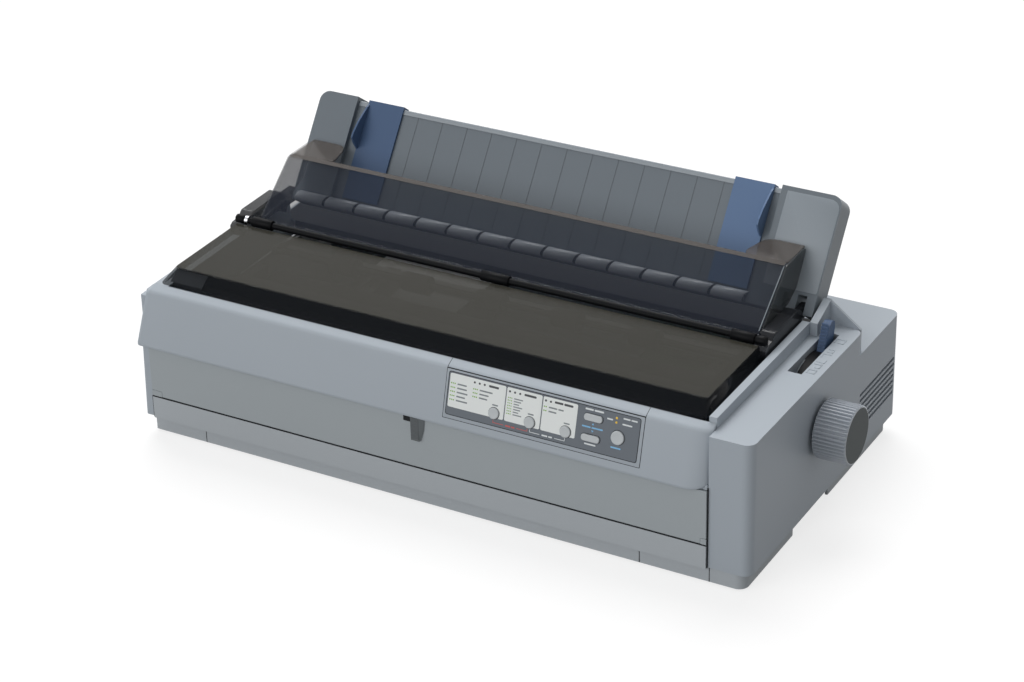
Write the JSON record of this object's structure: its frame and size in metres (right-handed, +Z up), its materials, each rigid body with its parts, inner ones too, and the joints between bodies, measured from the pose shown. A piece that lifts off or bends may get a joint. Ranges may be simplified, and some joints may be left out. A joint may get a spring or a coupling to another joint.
{
  "type": "dot matrix printer",
  "caption": "Wide-carriage impact printer: grey case, smoked hinged cover and hood, raised sheet guide, ribbed side knob, sloping key panel",
  "frame": {"origin": "centre of the footprint at the underside of the feet", "axes": "X along the carriage to the right as seen from the front, Y from front to back, Z up"},
  "size_m": [0.639, 0.321, 0.2404],
  "materials": {
    "case_grey": "fine textured light grey ABS",
    "panel_grey": "textured mid grey ABS",
    "smoked": "smoked translucent acrylic",
    "guide_grey": "grey moulded plastic",
    "blue_plastic": "blue satin plastic",
    "dark_plastic": "dark moulded plastic",
    "overlay_slate": "slate printed overlay",
    "label_white": "light printed label",
    "led_yellow": "small tinted lamps",
    "button_grey": "light grey keys",
    "knob_grey": "ribbed mid grey plastic",
    "rubber": "black rubber",
    "steel": "bright steel",
    "sheet_metal": "plated sheet steel",
    "bronze": "sintered bronze",
    "gear_white": "white acetal",
    "board_green": "green circuit board",
    "motor_dark": "dark painted motor can"
  },
  "bodies": {
    "housing": {"base_tray": "case_grey", "rubber_feet": "rubber", "upper_case": "case_grey", "cover_rail": "case_grey", "case_screws": "steel", "front_lip": "case_grey", "control_bezel": "case_grey", "control_overlay": "overlay_slate", "label_panels": "label_white", "indicator_leds": "led_yellow", "control_board": "board_green", "left_side_frame": "sheet_metal", "right_side_frame": "sheet_metal", "platen_bushings": "bronze", "carriage_shaft": "steel", "guide_rail": "sheet_metal", "tractor_rail": "steel", "paper_pan": "dark_plastic", "main_board": "board_green", "power_supply": "sheet_metal", "power_inlet": "dark_plastic", "interface_ports": "sheet_metal", "feed_motor": "motor_dark", "carriage_motor": "motor_dark", "carriage_belt": "rubber", "ribbon_cartridge": "dark_plastic"},
    "cover": {"printer_cover": "smoked", "hood_rod": "steel"},
    "hood_body": {"hood": "smoked"},
    "guide_body": {"sheet_guide": "guide_grey"},
    "left_edge": {"left_edge_guide": "blue_plastic"},
    "right_edge": {"right_edge_guide": "blue_plastic"},
    "platen": {"platen_roller": "rubber", "platen_shaft": "steel", "feed_knob": "knob_grey", "platen_gear": "gear_white"},
    "idler": {"idler_gear": "gear_white"},
    "pinion": {"motor_pinion": "bronze"},
    "tractor_drive": {"tractor_shaft": "steel", "tractor_gear": "gear_white"},
    "tractor_left": {"left_tractor": "dark_plastic"},
    "tractor_right": {"right_tractor": "dark_plastic"},
    "head_carriage": {"carriage": "dark_plastic", "print_head": "motor_dark"},
    "belt_drive": {"drive_pulley": "steel"},
    "belt_idler": {"idler_pulley": "steel"},
    "ribbon_wheel": {"ribbon_knob": "dark_plastic"},
    "tension_unit": {"tension_bar": "dark_plastic"},
    "tension_wheels": {"tension_rollers": "rubber"},
    "paper_lever": {"release_lever": "blue_plastic"},
    "gap_lever": {"thickness_lever": "blue_plastic"},
    "front_door": {"front_cover": "panel_grey"},
    "door_latch": {"front_latch": "dark_plastic"},
    "rocker": {"power_switch": "dark_plastic"},
    "key_font": {"button_font": "button_grey"},
    "key_pitch": {"button_pitch": "button_grey"},
    "key_tear_off": {"button_tear_off": "button_grey"},
    "key_load": {"button_load": "button_grey"},
    "key_line_feed": {"button_line_feed": "button_grey"},
    "key_pause": {"button_pause": "button_grey"}
  },
  "joints": [
    {"name": "cover_hinge", "type": "hinge", "parent": "housing", "child": "cover", "pos_m": [0, 0.0525, 0.145], "axis": [-1, 0, 0], "range_deg": [0, 42]},
    {"name": "hood_hinge", "type": "hinge", "parent": "cover", "child": "hood_body", "pos_m": [0, -0.0175, 0.162], "axis": [1, 0, 0], "range_deg": [0, 120]},
    {"name": "guide_tilt", "type": "hinge", "parent": "cover", "child": "guide_body", "pos_m": [0, 0.06991, 0.15242], "axis": [-1, 0, 0], "range_deg": [0, 16]},
    {"name": "left_edge_slide", "type": "slide", "parent": "guide_body", "child": "left_edge", "axis": [1, 0, 0], "range_m": [-0.009, 0.14]},
    {"name": "right_edge_slide", "type": "slide", "parent": "guide_body", "child": "right_edge", "axis": [1, 0, 0], "range_m": [-0.14, 0.006]},
    {"name": "platen_turn", "type": "hinge", "parent": "housing", "child": "platen", "pos_m": [0, -0.0145, 0.091], "axis": [1, 0, 0], "continuous": true},
    {"name": "idler_turn", "type": "hinge", "parent": "housing", "child": "idler", "pos_m": [-0.277, 0.01635, 0.05423], "axis": [1, 0, 0], "continuous": true},
    {"name": "pinion_turn", "type": "hinge", "parent": "housing", "child": "pinion", "pos_m": [-0.277, 0.03714, 0.04223], "axis": [1, 0, 0], "continuous": true},
    {"name": "tractor_turn", "type": "hinge", "parent": "housing", "child": "tractor_drive", "pos_m": [-0.277, 0.04087, 0.0748], "axis": [1, 0, 0], "continuous": true},
    {"name": "left_tractor_slide", "type": "slide", "parent": "housing", "child": "tractor_left", "axis": [1, 0, 0], "range_m": [-0.04, 0.1]},
    {"name": "right_tractor_slide", "type": "slide", "parent": "housing", "child": "tractor_right", "axis": [1, 0, 0], "range_m": [-0.1, 0.04]},
    {"name": "carriage_slide", "type": "slide", "parent": "housing", "child": "head_carriage", "axis": [1, 0, 0], "range_m": [0, 0.4]},
    {"name": "drive_pulley_turn", "type": "hinge", "parent": "housing", "child": "belt_drive", "pos_m": [0.194, -0.0555, 0.052], "axis": [0, 0, 1], "continuous": true},
    {"name": "idler_pulley_turn", "type": "hinge", "parent": "housing", "child": "belt_idler", "pos_m": [-0.258, -0.0555, 0.052], "axis": [0, 0, 1], "continuous": true},
    {"name": "ribbon_knob_turn", "type": "hinge", "parent": "housing", "child": "ribbon_wheel", "pos_m": [-0.244, -0.0935, 0.138], "axis": [0, 0, 1], "continuous": true},
    {"name": "tension_hinge", "type": "hinge", "parent": "housing", "child": "tension_unit", "pos_m": [0, 0.0305, 0.124], "axis": [-1, 0, 0], "range_deg": [0, 25]},
    {"name": "tension_roll", "type": "hinge", "parent": "tension_unit", "child": "tension_wheels", "pos_m": [0, -0.0055, 0.131], "axis": [1, 0, 0], "continuous": true},
    {"name": "release_lever_turn", "type": "hinge", "parent": "housing", "child": "paper_lever", "pos_m": [0.2635, 0.0185, 0.075], "axis": [1, 0, 0], "range_deg": [0, 38]},
    {"name": "thickness_lever_turn", "type": "hinge", "parent": "housing", "child": "gap_lever", "pos_m": [0.2205, -0.0575, 0.111], "axis": [1, 0, 0], "range_deg": [-8, 8]},
    {"name": "front_cover_hinge", "type": "hinge", "parent": "housing", "child": "front_door", "pos_m": [0, -0.153, 0.0435], "axis": [1, 0, 0], "range_deg": [0, 80]},
    {"name": "front_latch_slide", "type": "slide", "parent": "front_door", "child": "door_latch", "axis": [0, 0, -1], "range_m": [0, 0.004], "stiffness_N_per_m": 200, "springref_m": -0.0015},
    {"name": "power_switch_rock", "type": "hinge", "parent": "housing", "child": "rocker", "pos_m": [-0.314, -0.1045, 0.083], "axis": [0, -1, 0], "range_deg": [0, 16]},
    {"name": "button_font_press", "type": "slide", "parent": "housing", "child": "key_font", "axis": [0, 0.9634, -0.2682], "range_m": [0, 0.0012], "stiffness_N_per_m": 250, "springref_m": -0.0008},
    {"name": "button_pitch_press", "type": "slide", "parent": "housing", "child": "key_pitch", "axis": [0, 0.9634, -0.2682], "range_m": [0, 0.0012], "stiffness_N_per_m": 250, "springref_m": -0.0008},
    {"name": "button_tear_off_press", "type": "slide", "parent": "housing", "child": "key_tear_off", "axis": [0, 0.9634, -0.2682], "range_m": [0, 0.0012], "stiffness_N_per_m": 250, "springref_m": -0.0008},
    {"name": "button_load_press", "type": "slide", "parent": "housing", "child": "key_load", "axis": [0, 0.9634, -0.2682], "range_m": [0, 0.0012], "stiffness_N_per_m": 250, "springref_m": -0.0008},
    {"name": "button_line_feed_press", "type": "slide", "parent": "housing", "child": "key_line_feed", "axis": [0, 0.9634, -0.2682], "range_m": [0, 0.0012], "stiffness_N_per_m": 250, "springref_m": -0.0008},
    {"name": "button_pause_press", "type": "slide", "parent": "housing", "child": "key_pause", "axis": [0, 0.9634, -0.2682], "range_m": [0, 0.0012], "stiffness_N_per_m": 250, "springref_m": -0.0008}
  ],
  "couplings": [
    {"joint": "idler_turn", "follows": "platen_turn", "ratio": -2},
    {"joint": "pinion_turn", "follows": "platen_turn", "ratio": 4},
    {"joint": "tractor_turn", "follows": "platen_turn", "ratio": 2},
    {"joint": "drive_pulley_turn", "follows": "carriage_slide", "rad_per_m": 166.67},
    {"joint": "idler_pulley_turn", "follows": "carriage_slide", "rad_per_m": 166.67}
  ]
}
